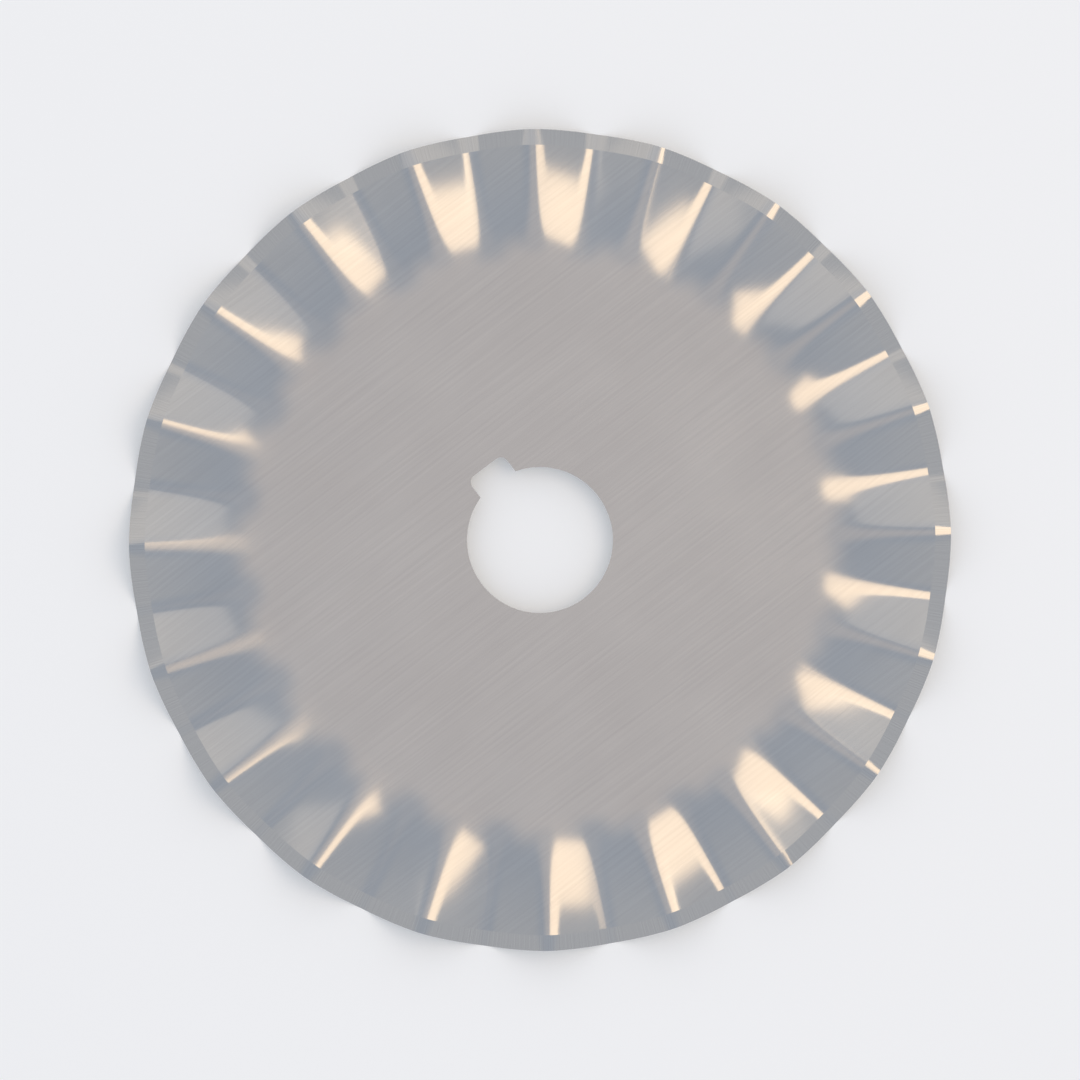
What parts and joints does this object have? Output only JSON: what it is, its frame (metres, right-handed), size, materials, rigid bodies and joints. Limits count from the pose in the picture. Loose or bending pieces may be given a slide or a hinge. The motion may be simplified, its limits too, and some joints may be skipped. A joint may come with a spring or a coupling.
{
  "type": "pinking rotary cutter blade",
  "caption": "Round steel cutting blade with a pleated zigzag rim, a single-bevel ground edge, a flat centre and a keyed bore.",
  "frame": {"origin": "on the bore's axis, at half the thickness of the flat centre", "axes": "+Z along the bore's axis, out of the side that is ground to a bevel; +Y from the axis through the keyway"},
  "size_m": [0.045, 0.045, 0.0019],
  "materials": {
    "blade_steel": "satin rolled stainless steel with a finely ground edge"
  },
  "bodies": {
    "root": {"blade": "blade_steel"}
  },
  "joints": []
}
